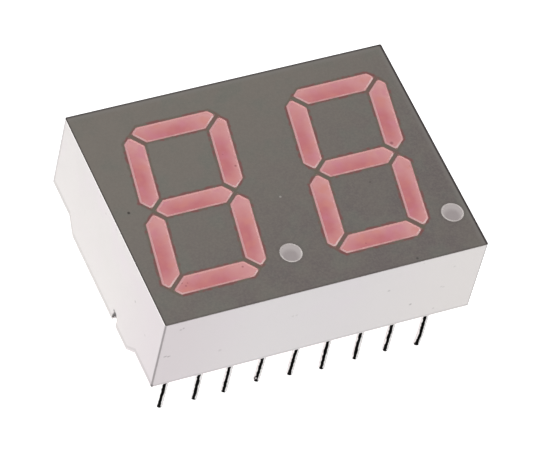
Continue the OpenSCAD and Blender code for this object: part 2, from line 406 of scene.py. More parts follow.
@dataclass
class DigitPattern:
    """The windows of both digits, as distances that a finish can follow.

    A digit that isn't leaned over is the same on both sides of its middle, across and up, so
    that three of its bars stand for all seven.
    """

    width: float = 7.95 * MM
    height: float = 14.6 * MM
    stroke: float = 1.46 * MM
    web: float = 0.33 * MM
    cut: float = 1.2 * MM
    setback: float = 0.08 * MM

    def __post_init__(self) -> None:
        """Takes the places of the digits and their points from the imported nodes."""
        self.centre = middle("tens_segment_g")
        self.pitch = middle("units_segment_g").x - self.centre.x
        run = middle("tens_segment_f") - middle("tens_segment_e")
        self.lean = run.x / run.y
        self.point = middle("tens_point") - self.centre
        self.point_radius = half_width("tens_point") + self.setback

    def off_windows(self, g: Graph, point: Socket) -> tuple[Factor, Factor, Socket]:
        """Gives how far a place on the face is from the windows.

        Args:
            g: Material to add the nodes to.
            point: The place.

        Returns:
            Distances to the nearest bar's window, to the next one, and to the decimal point's.
        """
        x, y, _ = g.axes(point)
        x = g.minus(x, self.centre.x + PRINT_DRIFT.x)
        x = g.maths("WRAP", x, self.pitch / 2, -self.pitch / 2)
        y = g.minus(y, self.centre.y + PRINT_DRIFT.y)
        out, up = g.size(g.maths("MULTIPLY_ADD", y, -self.lean, x)), g.size(y)
        root = math.sqrt(0.5)
        rise, fall = g.product(g.plus(out, up), root), g.product(g.minus(out, up), root)
        wide, high, stroke, web = self.width / 2, self.height / 2, self.stroke, self.web * root
        mitre = wide - stroke / 2
        chamfer = (rise, 1, (wide + high - self.cut) * root)
        shapes = (
            ((up, 1, high), (up, -1, high - stroke), chamfer, (fall, 1, (wide - high - web) * root)),
            (
                (out, 1, wide), (out, -1, wide - stroke), chamfer, (fall, -1, (wide - high + web) * root),
                (rise, -1, (mitre + web) * root), (fall, 1, (mitre - web) * root),
            ),
            ((up, 1, stroke / 2), (rise, 1, (mitre - web) * root)),
        )
        top, side, bar = (g.most(*(g.beyond(*line) for line in shape)) for shape in shapes)
        closer, further = g.least(top, side), g.most(top, side)
        nearest, second = g.least(closer, bar), g.most(closer, g.least(further, bar))
        reach = g.length(g.minus(x, self.point.x), g.minus(y, self.point.y))
        return nearest, second, g.beyond(reach, 1, self.point_radius)


# ---- Finishes ----


@dataclass(frozen=True)
class WhitePlastic:
    """Moulded white plastic: fine mould texture, a few specks and scuffs, a dark line along the lower
    rim, painted shade, a painted highlight and painted floor light near its edges, and painted shadow in
    the notch.
    """

    body: Colour = shade(237, 232, 230, WHITE_SHARE)
    dim: Colour = times(body, 0.975)
    dull: Colour = times(body, 0.96)
    # Painted light from the floor, on the walls near their lower rim.
    floor_bounce_light: Colour = times(body, 1.015)
    bright: Colour = times(body, 1.035)
    rosy: Colour = shade(237, 228, 231, WHITE_SHARE)
    # Darker tone that comes in towards the front left corner.
    near_corner_dark: Colour = times(rosy, 0.93)
    cool: Colour = shade(234, 230, 234, WHITE_SHARE)
    # Dark grey for the specks, for the line along the lower rim, and for the painted shade along the
    # corners and under the ink.
    grime_and_shade: Colour = shade(150, 144, 145, GRIME_AND_SHADE_SHARE)
    # Near black, for the painted shadow in the notch of the left foot.
    dark_mark: Colour = shade(60, 56, 56, GRIME_AND_SHADE_SHARE)
    # Painted highlight along the top of the end walls, just under the ink.
    crest: Colour = shade(255, 251, 250, 0.78)
    rosy_cloud: Cloud = Cloud(3.1 * MM, Ease(0.4, 0.65))
    dim_cloud: Cloud = Cloud(2.2 * MM, Ease(0.35, 0.7), 3.0)
    dull_cloud: Cloud = Cloud(0.45 * MM, Ease(0.45, 0.75, 0.0, 0.5))
    texture: Texture = Texture(0.12 * MM, 0.004 * MM, 3.0)
    # How tones and lines come in with the distance from an edge.
    # Painted light from the floor: the walls are lighter towards their lower rim.
    floor_bounce_reach: Ease = Ease(6 * MM, 0.5 * MM)
    cool_corner: Ease = Ease(0.3 * MM, 0.1 * MM, 0.0, 0.5)
    # Darker towards the front left corner.
    near_corner_fade: Ease = Ease(9 * MM, 0.0, 0.0, 0.9)
    # Painted shade along the upright corners.
    corner_line: Ease = Ease(0.15 * MM, 0.06 * MM, 0.0, 0.85)
    rim_line: tuple[Ease, Ease] = (Ease(0.05 * MM, 0.12 * MM), Ease(0.24 * MM, 0.17 * MM))
    rim_ends: Ease = Ease(0.0, 0.1 * MM, 0.42, 1.0)
    rim_strength: tuple[float, float] = (0.22, 0.27)
    rim_past_feet: float = 1.25
    rim_behind: float = 1.6
    # Painted highlight along the top of the end walls, kept off the front and back walls.
    crest_line: Ease = Ease(0.17 * MM, 0.05 * MM)
    crest_ends: Ease = Ease(0.2 * MM, 0.0, -0.5, 0.95)
    # Painted shade along the top of the front and back walls, under the ink.
    ink_line: Ease = Ease(0.12 * MM, 0.03 * MM, 0.0, 0.3)
    ink_ends: Ease = Ease(0.1 * MM, 0.3 * MM)
    speck_weight: float = 1.5
    specks: tuple[Spot, ...] = (
        Spot(-12.5, 1.3, 7.7, 0.13, 0.2), Spot(-12.5, 2.5, 8.2, 0.13, 0.15),
        Spot(-12.5, -0.5, 8.1, 0.12, 0.15), Spot(-12.5, -2.0, 8.1, 0.12, 0.15),
        Spot(-12.5, -5.0, 5.5, 0.15, 0.35), Spot(-12.5, -7.2, 4.4, 0.13, 0.2),
        Spot(-11.2, -9.5, 7.6, 0.13, 0.3), Spot(-11.0, -9.5, 7.7, 0.12, 0.35),
        Spot(-7.6, -9.5, 3.7, 0.2, 0.15), Spot(-2.3, -9.5, 5.7, 0.14, 0.15),
        Spot(-2.0, -9.5, 5.7, 0.14, 0.15), Spot(5.2, -9.5, 5.8, 0.16, 0.25),
        Spot(7.4, -9.5, 3.3, 0.16, 0.35), Spot(9.5, -9.5, 2.0, 0.13, 0.2),
        Spot(9.6, -9.5, 4.6, 0.14, 0.15), Spot(9.8, -9.5, 4.5, 0.14, 0.15),
        Spot(10.2, -9.5, 6.8, 0.14, 0.15), Spot(7.5, -9.5, 8.2, 0.1, 0.15),
        Spot(-12.0, -9.5, 4.7, 0.12, 0.35), Spot(-11.9, -9.5, 4.7, 0.12, 0.4),
        Spot(-11.7, -9.5, 4.6, 0.12, 0.4), Spot(-11.6, -9.5, 4.6, 0.12, 0.3),
    )
    # Painted shadow in the notch of the left foot, and one dark mark at the lower front left corner.
    notch_shadow: tuple[Spot, ...] = (
        Spot(-12.5, -2.8, 1.0, 0.34, 1.0), Spot(-12.5, -2.55, 1.15, 0.17, 0.8),
        Spot(-12.3, -2.5, 0.5, 0.3, 1.0), Spot(-12.4, -2.5, 0.3, 0.2, 1.0),
        Spot(-12.5, -9.5, 1.3, 0.25, 0.6),
    )

    def make(self, housing: "Housing") -> bpy.types.Material:
        """Builds the material, with its edge lines where the housing's edges are.

        Args:
            housing: The housing that it is for.

        Returns:
            The material.
        """
        g = Graph("white_plastic")
        point = g.place()
        x, y, z = g.axes(point)
        half = housing.size / 2
        across, along = g.minus(half.x, g.size(x)), g.minus(half.y, g.size(y))
        above, below = g.minus(z, housing.rim_at(g, y)), g.minus(housing.top, z)
        front_corner = g.plus(g.plus(x, y), half.x + half.y)
        # Painted highlight: a light line along the top of the end walls.
        crest = g.product(g.fade(below, self.crest_line), g.fade(across, self.crest_ends))
        colour = g.layers(
            self.body,
            (g.cloud(point, self.rosy_cloud), self.rosy),
            (g.cloud(point, self.dim_cloud), self.dim),
            (g.cloud(point, self.dull_cloud), self.dull),
            # Painted light from the floor, low on the walls.
            (g.fade(above, self.floor_bounce_reach), self.floor_bounce_light),
            (g.fade(along, self.cool_corner), self.cool),
            # Darker towards the front left corner, lighter towards the right end.
            (g.fade(front_corner, self.near_corner_fade), self.near_corner_dark),
            (g.fade(x, Ease(0.0, half.x)), self.bright),
            (g.product(g.spots(point, self.specks), self.speck_weight), self.grime_and_shade),
            (g.most(crest, 0.0), self.crest),
            # Painted shade along the corners and under the ink, and a dark line along the lower rim.
            (self.edges(g, housing, (y, across, along, above, below)), self.grime_and_shade),
            # Painted shadow in the notch.
            (g.spots(point, self.notch_shadow), self.dark_mark),
        )
        return g.surface(
            Base_Color=colour, Roughness=0.5, IOR=1.46, Specular_IOR_Level=0.3,
            Normal=g.bumps(point, self.texture),
        )

    def edges(self, g: Graph, housing: "Housing", place: tuple[Socket, ...]) -> Factor:
        """Gives the dark line along the lower rim, and the painted shade along the upright corners and
        along the top of the front and back walls, under the ink.

        Args:
            g: Material to add the nodes to.
            housing: The housing that it is for.
            place: Y, the distances from the ends and the sides, and the heights above the lower
                rim and below the top.

        Returns:
            How much of the dark grey shows.
        """
        y, across, along, above, below = place
        behind = g.product(g.minus(housing.size.y / 2, y), self.rim_behind)
        near = g.product(g.least(above, behind), g.fade(across, self.rim_ends))
        past_feet = Ease(housing.foot_half, self.rim_past_feet * housing.foot_half, *self.rim_strength)
        rim = g.product(g.fade(near, self.rim_line[0]), g.fade(near, self.rim_line[1]))
        rim = g.product(rim, g.fade(g.size(y), past_feet))
        ink = g.product(g.fade(below, self.ink_line), g.fade(across, self.ink_ends))
        return g.most(rim, ink, g.fade(g.most(across, along), self.corner_line))


@dataclass(frozen=True)
class GreyInk:
    """Matt grey printing ink, darker along its own edges and stained red round the bars."""

    body: Colour = shade(123, 117, 110, INK_SHARE)
    dull: Colour = times(body, 0.93)
    light: Colour = times(body, 1.12)
    cool: Colour = shade(109, 101, 100, INK_SHARE)
    green: Colour = shade(112, 114, 107, INK_SHARE)
    edge: Colour = shade(58, 50, 50, INK_SHARE)
    stain: Colour = shade(128, 84, 82, INK_SHARE)
    oily: Colour = shade(113, 104, 94, INK_SHARE)
    gap: Colour = shade(121, 95, 88, INK_SHARE)
    gap_oily: Colour = shade(110, 102, 90, INK_SHARE)
    worn: Colour = shade(131, 127, 123, INK_SHARE)
    feather: Colour = shade(205, 148, 146, INK_SHARE)
    speck: Colour = shade(60, 56, 54, INK_SHARE)
    pale: Colour = shade(168, 164, 158, INK_SHARE)
    green_cloud: Cloud = Cloud(1.9 * MM, Ease(0.45, 0.7, 0.0, 0.6))
    dull_cloud: Cloud = Cloud(1.6 * MM, Ease(0.35, 0.7, 0.0, 0.5), 3.0)
    light_cloud: Cloud = Cloud(0.14 * MM, Ease(0.3, 0.75, 0.0, 0.5))
    oily_cloud: Cloud = Cloud(0.6 * MM, Ease(0.42, 0.58))
    stain_wander: Cloud = Cloud(0.4 * MM, Ease(0.3, 0.7, -0.04 * MM, 0.05 * MM))
    texture: Texture = Texture(0.09 * MM, 0.003 * MM)
    slant: float = 0.5
    # How tones and lines come in with the distance from an edge or a window.
    cool_slant: Ease = Ease(-9 * MM, 8 * MM)
    worn_rim: Ease = Ease(0.6 * MM, 0.2 * MM, 0.0, 0.6)
    far_line: Ease = Ease(0.2 * MM, 0.13 * MM)
    right_line: Ease = Ease(0.3 * MM, 0.2 * MM, 0.45, 0.85)
    side_line: Ease = Ease(0.12 * MM, 0.05 * MM, 0.0, 0.7)
    side_gain: tuple[float, float] = (1.0, 1.4)
    front_line: Ease = Ease(0.15 * MM, 0.06 * MM, 0.0, 0.3)
    stain_width: Ease = Ease(0.27 * MM, 0.11 * MM)
    gap_width: Ease = Ease(0.45 * MM, 0.3 * MM)
    feather_width: Ease = Ease(0.05 * MM, 0.0, 0.0, 0.3)
    point_ring: Ease = Ease(0.25 * MM, 0.1 * MM, 0.0, 0.12)
    dust_strength: float = 0.4
    dark_specks: tuple[Spot, ...] = (
        Spot(-12.5, 9.5, 8.6, 0.25, 0.8), Spot(12.5, 9.5, 8.6, 0.2, 0.7),
        Spot(-11.3, 0.3, 8.6, 0.16, 0.9), Spot(7.0, -9.2, 8.6, 0.14, 0.6),
        Spot(6.5, -2.0, 8.6, 0.1, 0.5),
    )
    pale_specks: tuple[Spot, ...] = (Spot(-0.3, -1.4, 8.6, 0.13, 0.8),)

    def make(self, half: Vector, pattern: DigitPattern) -> bpy.types.Material:
        """Builds the material, stained round the windows of the bars.

        Args:
            half: Half the size of the face.
            pattern: The windows.

        Returns:
            The material.
        """
        g = Graph("grey_ink")
        point = g.place()
        x, y, _ = g.axes(point)
        right, far, front = g.minus(half.x, x), g.minus(half.y, y), g.plus(half.y, y)
        away = g.least(right, far)
        sides = g.least(g.minus(half.x, g.size(x)), far)
        gain = g.fade(x, Ease(0.0, half.x, *self.side_gain))
        dust = g.specks(point, spread=4.3 * MM, radius=0.09 * MM, share=0.4)
        nearest, second, off_point = pattern.off_windows(g, point)
        oil = g.cloud(point, self.oily_cloud)
        stain = g.layers(
            self.stain,
            (oil, self.oily),
            (g.fade(second, self.gap_width), g.blend(oil, self.gap, self.gap_oily)),
        )
        spread = g.plus(nearest, g.cloud(point, self.stain_wander))
        colour = g.layers(
            self.body,
            (g.fade(g.minus(g.product(x, self.slant), y), self.cool_slant), self.cool),
            (g.cloud(point, self.green_cloud), self.green),
            (g.cloud(point, self.dull_cloud), self.dull),
            (g.cloud(point, self.light_cloud), self.light),
            (g.product(dust, self.dust_strength), self.speck),
            (g.spots(point, self.dark_specks), self.speck),
            (g.spots(point, self.pale_specks), self.pale),
            (g.fade(away, self.worn_rim), self.worn),
            (g.product(g.fade(away, self.far_line), g.fade(right, self.right_line)), self.edge),
            (g.product(g.fade(sides, self.side_line), gain), self.edge),
            (g.fade(front, self.front_line), self.edge),
            (g.fade(spread, self.stain_width), stain),
            (g.fade(nearest, self.feather_width), self.feather),
            (g.fade(off_point, self.point_ring), self.edge),
        )
        bumps = g.bumps(point, self.texture)
        return g.surface(Base_Color=colour, Roughness=0.62, Specular_IOR_Level=0.25, Normal=bumps)


@dataclass(frozen=True)
class RedResin:
    """Cast pink resin in a bar's cup: pale at its edges and deep where the cup goes down."""

    pale: Colour = shade(221, 162, 161, RESIN_SHARE)
    deep: Colour = shade(201, 121, 126, RESIN_SHARE)
    warm: Colour = shade(216, 142, 128, RESIN_SHARE)
    cold: Colour = shade(208, 131, 152, RESIN_SHARE)
    fleck: Colour = shade(165, 90, 96, RESIN_SHARE)
    dark_mark: Colour = shade(128, 62, 72, RESIN_SHARE)
    deep_cloud: Cloud = Cloud(0.9 * MM, Ease(0.3, 0.7, -0.1, 0.1), 3.0)
    warm_cloud: Cloud = Cloud(1.1 * MM, Ease(0.5, 0.75, 0.0, 0.5))
    cold_cloud: Cloud = Cloud(1.1 * MM, Ease(0.5, 0.25, 0.0, 0.5))
    texture: Texture = Texture(0.5 * MM, 0.006 * MM)
    fleck_strength: float = 0.5
    marks: tuple[Spot, ...] = (
        Spot(-10.0, -6.4, 8.6, 0.12, 0.6), Spot(-9.8, -6.7, 8.6, 0.12, 0.6),
        Spot(-9.6, -6.5, 8.6, 0.1, 0.6), Spot(-5.3, -6.3, 8.6, 0.13, 0.6),
        Spot(-2.8, 3.3, 8.6, 0.1, 0.4), Spot(-2.3, 2.1, 8.6, 0.14, 0.6),
        Spot(9.5, 0.85, 8.6, 0.2, 0.6), Spot(4.0, -6.9, 8.6, 0.1, 0.5),
        Spot(8.7, -6.8, 8.6, 0.13, 0.8),
    )
    across: Depth = Depth(
        side=Ease(1.2 * MM, -0.4 * MM), end=Ease(3.6 * MM, -0.1 * MM), start=Ease(-5.2 * MM, -1.0 * MM),
    )
    upright: Depth = Depth(
        side=Ease(0.9 * MM, -0.2 * MM), end=Ease(4.0 * MM, -0.5 * MM), start=Ease(-4.5 * MM, -1.1 * MM),
    )

    def make(self, bar: "Bar") -> bpy.types.Material:
        """Builds the resin of one bar, with its depth of colour along and across the bar.

        Args:
            bar: The bar that it fills.

        Returns:
            The material.
        """
        g = Graph(f"red_resin_{bar.name}")
        point = g.place()
        along, side, _ = g.axes(g.around(bar.centre, bar.turn))
        run = self.across
        if bar.lie is Lie.UPRIGHT:
            run, side = self.upright, g.product(side, -1.0)
        depth = g.product(g.fade(along, run.end), g.fade(along, run.start))
        depth = g.product(depth, g.fade(side, run.side))
        flecks = g.specks(point, spread=2.3 * MM, radius=0.1 * MM, share=0.3)
        low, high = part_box(bar.node)
        own = tuple(m for m in self.marks if low.x < m.x * MM < high.x and low.y < m.y * MM < high.y)
        colour = g.layers(
            self.pale,
            (g.plus(depth, g.cloud(point, self.deep_cloud)), self.deep),
            (g.cloud(point, self.warm_cloud), self.warm),
            (g.cloud(point, self.cold_cloud), self.cold),
            (g.product(flecks, self.fleck_strength), self.fleck),
            (g.spots(point, own), self.dark_mark),
        )
        return g.surface(
            Base_Color=colour, Roughness=0.34, IOR=1.5, Specular_IOR_Level=0.3, Coat_Weight=0.1,
            Coat_Roughness=0.2, Normal=g.bumps(point, self.texture),
        )


@dataclass(frozen=True)
class ClearResin:
    """Milky clear resin in a decimal point's cup, darkest a little off its middle."""

    middle: Colour = shade(167, 158, 158, RESIN_SHARE)
    light: Colour = shade(189, 181, 180, RESIN_SHARE)
    off_middle: tuple[float, float, float] = (-0.17 * MM, -0.3 * MM, 0.0)
    dark_reach: float = 0.4
    light_reach: float = 1.25
    cloud: Cloud = Cloud(0.5 * MM, Ease(0.3, 0.7, -0.12, 0.12), 3.0)
    texture: Texture = Texture(0.4 * MM, 0.005 * MM)

    def make(self, name: str, centre: Vector, radius: float) -> bpy.types.Material:
        """Builds the resin of one decimal point.

        Args:
            name: Name of the material.
            centre: Middle of the point.
            radius: Radius of the point.

        Returns:
            The material.
        """
        g = Graph(name)
        point = g.around(centre + Vector(self.off_middle), 0.0)
        x, y, _ = g.axes(point)
        lighter = g.fade(g.length(x, y), Ease(self.dark_reach * radius, self.light_reach * radius))
        lighter = g.fade(g.plus(lighter, g.cloud(point, self.cloud)), Ease(0.0, 1.0))
        return g.surface(
            Base_Color=g.blend(lighter, self.middle, self.light), Roughness=0.3, IOR=1.5,
            Specular_IOR_Level=0.3, Normal=g.bumps(point, self.texture),
        )


@dataclass(frozen=True)
class BeadPlastic:
    """The bare plastic lip of a cup, stained by the resin that was wiped over it, with painted light on
    its slopes that face right and on those that face down, and at the joints bare plastic that shows only
    on slopes that face up, which is partly painted light.
    """

    name: str
    clean: Colour = shade(218, 166, 165, RESIN_SHARE)
    stained: Colour = shade(206, 148, 149, RESIN_SHARE)
    # Bare plastic where the stain didn't reach, shown only on slopes that face up: partly painted light.
    bare: Colour = shade(223, 191, 189, RESIN_SHARE)
    # Painted light on slopes that face down.
    down_slope_light: Colour = shade(225, 166, 164, RESIN_SHARE)
    # Painted light on slopes that face right.
    lit: Colour = shade(222, 167, 169, RESIN_SHARE)
    stain_cloud: Cloud = Cloud(0.6 * MM, Ease(0.35, 0.65))
    texture: Texture = Texture(0.1 * MM, 0.003 * MM)
    tilted: Ease = Ease(0.1, 0.15)

    def make(self, joints: tuple[Spot, ...] = ()) -> bpy.types.Material:
        """Builds the material.

        Args:
            joints: Where the mitred ends of bars meet, which the stain didn't reach.

        Returns:
            The material.
        """
        g = Graph(self.name)
        point = g.place()
        colour = g.blend(g.cloud(point, self.stain_cloud), self.clean, self.stained)
        if joints:
            # Painted light: the colour follows which way each face of the bead looks.
            right, up, _ = g.axes(g.mark(FACING, "Vector"))
            rightward, upward = g.fade(right, self.tilted), g.fade(up, self.tilted)
            downward = g.fade(g.product(up, -1.0), self.tilted)
            colour = g.layers(
                colour,
                (rightward, self.lit),
                (g.product(g.spots(point, joints), upward), self.bare),
                (g.product(downward, g.minus(1.0, rightward)), self.down_slope_light),
            )
        bumps = g.bumps(point, self.texture)
        return g.surface(Base_Color=colour, Roughness=0.45, Specular_IOR_Level=0.3, Normal=bumps)


@dataclass(frozen=True)
class SealingResin:
    """Sealing resin poured over the back: cloudy, glossy, slightly uneven."""

    body: Colour = shade(205, 168, 160)
    cloudy: Colour = shade(186, 140, 134)
    bubble: Colour = times(body, 1.15)
    cloud: Cloud = Cloud(3.5 * MM, Ease(0.35, 0.65), 4.0)
    bubble_strength: float = 0.5
    bubble_dent: float = 0.2
    swell: Texture = Texture(2.4 * MM, 0.12 * MM, 1.0)

    def make(self) -> bpy.types.Material:
        """Builds the material.

        Returns:
            The material.
        """
        g = Graph("sealing_resin")
        point = g.place()
        bubbles = g.specks(point, spread=1.1 * MM, radius=0.11 * MM, share=0.25)
        colour = g.layers(
            self.body,
            (g.cloud(point, self.cloud), self.cloudy),
            (g.product(bubbles, self.bubble_strength), self.bubble),
        )
        swell = g.grain(point, self.swell.size, self.swell.detail)
        swell = g.minus(swell, g.product(bubbles, self.bubble_dent))
        return g.surface(
            Base_Color=colour, Roughness=0.22, IOR=1.5, Normal=g.relief(swell, self.swell.depth),
            Subsurface_Weight=0.2, Subsurface_Scale=0.5 * MM, Subsurface_Radius=(1.0, 0.5, 0.4),
        )


@dataclass(frozen=True)
class Laminate:
    """Woven glass board: a fine weave shows through the lacquer."""

    body: Colour = shade(198, 186, 128)
    weave: Colour = shade(170, 156, 96)
    thread: float = 0.4 * MM
    crossing: Ease = Ease(-0.6, 0.6)
    depth: float = 0.004 * MM

    def make(self) -> bpy.types.Material:
        """Builds the material.

        Returns:
            The material.
        """
        g = Graph("board")
        x, y, _ = g.axes(g.place())
        turn = 2 * math.pi / self.thread
        threads = g.product(*(g.maths("SINE", g.product(side, turn)) for side in (x, y)))
        colour = g.blend(g.fade(threads, self.crossing), self.body, self.weave)
        return g.surface(Base_Color=colour, Roughness=0.5, Normal=g.relief(threads, self.depth))


@dataclass(frozen=True)
class Metal:
    """A bare metal with a worn or drawn surface."""

    name: str
    bright: Colour
    dull: Colour
    roughness: float
    wear: float = 0.15
    dull_patch: Ease = Ease(0.35, 0.65)
    texture: Texture = Texture(0.3 * MM, 0.003 * MM, 3.0)

    def make(self) -> bpy.types.Material:
        """Builds the material.

        Returns:
            The material.
        """
        g = Graph(self.name)
        patch = g.grain(g.place(), self.texture.size, self.texture.detail)
        colour = g.blend(g.fade(patch, self.dull_patch), self.bright, self.dull)
        rough = g.fade(patch, Ease(0.3, 0.7, self.roughness, self.roughness + self.wear))
        return g.surface(
            Base_Color=colour, Metallic=1.0, Roughness=rough, Normal=g.relief(patch, self.texture.depth),
        )


@dataclass(frozen=True)
class PinMetal:
    """Bright tinned pin wire with a painted dark reflection along it, wider at the cut tip, and painted
    shade on one flank.

    Widths across a pin are in pin radii, and heights are above the pin's tip.
    """

    # Near black: the painted dark reflection down the side of each pin that faces the camera.
    dark_reflection: Colour = (0.0015, 0.0015, 0.0015)
    tin: Colour = (0.84, 0.83, 0.83)
    # Painted shade on the right flank, as the camera sees it.
    shaded: Colour = (0.66, 0.65, 0.65)
    streak_half: Ease = Ease(0.4 * MM, 0.1 * MM, 0.4, 0.56)
    streak_edge: Ease = Ease(0.14, 0.0)
    wander: Cloud = Cloud(0.35 * MM, Ease(0.3, 0.7, -0.1, 0.1))
    flank: Ease = Ease(0.3, 0.75)
    texture: Texture = Texture(0.1 * MM, 0.004 * MM)

    def make(self, row: "PinRows") -> bpy.types.Material:
        """Builds the finish of all pins: each point is taken round the axis of its own pin.

        Args:
            row: The pins that it is for.

        Returns:
            The material.
        """
        g = Graph("pin_metal")
        point = g.place()
        x, y, z = g.axes(point)
        own_x = g.maths("WRAP", g.minus(x, g.mark(PIN_ASIDE)), row.pitch / 2, -row.pitch / 2)
        own_y = g.maths("WRAP", g.minus(y, g.mark(PIN_AHEAD)), row.spacing, 0.0)
        own_y = g.minus(own_y, row.spacing / 2)
        side = Vector((math.cos(row.streak_facing), math.sin(row.streak_facing))) / row.radius
        out = g.plus(g.product(own_x, side.x), g.product(own_y, side.y))
        out = g.plus(out, g.cloud(point, self.wander))
        half = g.fade(g.minus(z, row.tip), self.streak_half)
        # Painted shade on one flank, then the painted dark reflection down the middle.
        colour = g.layers(
            self.tin,
            (g.fade(out, self.flank), self.shaded),
            (g.fade(g.minus(g.size(out), half), self.streak_edge), self.dark_reflection),
        )
        bumps = g.bumps(point, self.texture)
        return g.surface(Base_Color=colour, Roughness=0.6, Specular_IOR_Level=0.01, Normal=bumps)


@dataclass(frozen=True)
class Crystal:
    """The dark glossy crystal of a light emitting die."""

    body: Colour = shade(120, 62, 50)
    top: Colour = shade(190, 150, 90)
    cloud: Cloud = Cloud(0.08 * MM, Ease(0.4, 0.6))

    def make(self) -> bpy.types.Material:
        """Builds the material.

        Returns:
            The material.
        """
        g = Graph("die")
        colour = g.blend(g.cloud(g.place(), self.cloud), self.body, self.top)
        return g.surface(Base_Color=colour, Roughness=0.2, IOR=1.9)


# ---- Meshes ----


def welded(node: str) -> bmesh.types.BMesh:
    """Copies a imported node's mesh.

    Args:
        node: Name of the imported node.

    Returns:
        The copy, with its points welded.
    """
    mesh = bmesh.new()
    mesh.from_mesh(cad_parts[node].data)
    bmesh.ops.remove_doubles(mesh, verts=mesh.verts, dist=WELD)
    return mesh


def round_edges(mesh: bmesh.types.BMesh, edges: list[bmesh.types.BMEdge], width: float) -> None:
    """Rounds edges of a mesh.

    Args:
        mesh: The mesh.
        edges: The edges.
        width: How far from each edge the rounding reaches.
    """
    bmesh.ops.bevel(
        mesh, geom=edges, offset=width, offset_type="OFFSET", affect="EDGES",
        segments=2, profile=0.5, material=-1, clamp_overlap=True,
    )


def add_object(name: str, data: bpy.types.ID) -> bpy.types.Object:
    """Adds an object to the scene.

    Args:
        name: Name of the object.
        data: Its mesh, camera or lamp.

    Returns:
        The object, at the origin.
    """
    item = bpy.data.objects.new(name, data)
    bpy.context.scene.collection.objects.link(item)
    return item


def add_mesh(name: str, mesh: bmesh.types.BMesh, finish: bpy.types.Material) -> bpy.types.Object:
    """Adds an object with a finished mesh to the scene.

    Args:
        name: Name of the object.
        mesh: Its mesh, in the row frame. It is freed.
        finish: Its material.

    Returns:
        The object.
    """
    data = bpy.data.meshes.new(name)
    mesh.to_mesh(data)
    mesh.free()
    data.materials.append(finish)
    return add_object(name, data)


class Sheet:
    """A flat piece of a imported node's mesh, taken off as a start for a new piece."""

    def __init__(self, node: str) -> None:
        """Copies the node's upper face, with its points welded.

        Args:
            node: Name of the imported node.
        """
        self.mesh = welded(node)
        level = max(v.co.z for v in self.mesh.verts)
        lost = [f for f in self.mesh.faces if any(abs(v.co.z - level) > WELD for v in f.verts)]
        bmesh.ops.delete(self.mesh, geom=lost, context="FACES")
        self.mesh.normal_update()

    def one_face(self) -> bmesh.types.BMFace:
        """Joins the sheet's triangles.

        Returns:
            The one face that they make.
        """
        bmesh.ops.dissolve_faces(self.mesh, faces=self.mesh.faces[:])
        self.mesh.faces.ensure_lookup_table()
        return self.mesh.faces[0]

    def ring(self, face: bmesh.types.BMFace, width: float, rise: float) -> list[bmesh.types.BMFace]:
        """Draws a face in by width and lifts it by rise.

        Args:
            face: Face to draw in; it stays the inner one.
            width: How far in its edge moves; negative moves it out.
            rise: How far it moves along its normal.

        Returns:
            The faces between the old edge and the new one.
        """
        made = bmesh.ops.inset_region(
            self.mesh, faces=[face], thickness=width, depth=rise,
            use_boundary=True, use_even_offset=True,
        )
        return made["faces"]


def as_piece(name: str, mesh: bmesh.types.BMesh, finish: bpy.types.Material) -> bpy.types.Object:
    """Makes a piece of a finished mesh and lets it ride on the part.

    Args:
        name: Name of the piece.
        mesh: Its mesh, in the row frame. It is freed.
        finish: Its material.

    Returns:
        The piece.
    """
    piece = add_mesh(name, mesh, finish)
    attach(piece, "root")
    log.info("piece %s: %d faces, %s", name, len(piece.data.polygons), finish.name)
    return piece


def dress(node: str, finish: bpy.types.Material) -> None:
    """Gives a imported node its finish.

    Args:
        node: Name of the node.
        finish: Its material.
    """
    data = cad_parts[node].data
    data.materials.clear()
    data.materials.append(finish)
    log.info("node %s: %s", node, finish.name)


# ---- Sub-assemblies ----


@dataclass
class Housing:
    """The moulded reflector housing, which stands on its two end walls."""

    foot_half: float = 5.2 * MM
    shoulder_front: float = 1.2 * MM
    shoulder_back: float = 1.0 * MM
    foot_drop: float = 1.2 * MM
    finish: WhitePlastic = field(default_factory=WhitePlastic)
    size: Vector = field(init=False)
    top: float = field(init=False)

    def __post_init__(self) -> None:
        """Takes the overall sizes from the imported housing."""
        low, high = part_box("reflector_housing")
        self.size = high - low
        self.top = high.z

    def rim_at(self, g: Graph, y: Socket) -> Socket:
        """Gives the height of the housing's lower edge, which follows the feet's shoulders.

        Args:
            g: Material to add the nodes to.
            y: Place along the end walls.

        Returns:
            The height of the edge.
        """
        front = g.minus(g.product(y, -1.0), self.foot_half)
        back = g.minus(y, self.foot_half)
        front = g.maths("DIVIDE", front, self.shoulder_front)
        back = g.maths("DIVIDE", back, self.shoulder_back)
        return g.product(g.least(g.most(front, back, 0.0), 1.0), self.foot_drop)

    def build(self) -> None:
        """Dresses the housing."""
        dress("reflector_housing", self.finish.make(self))


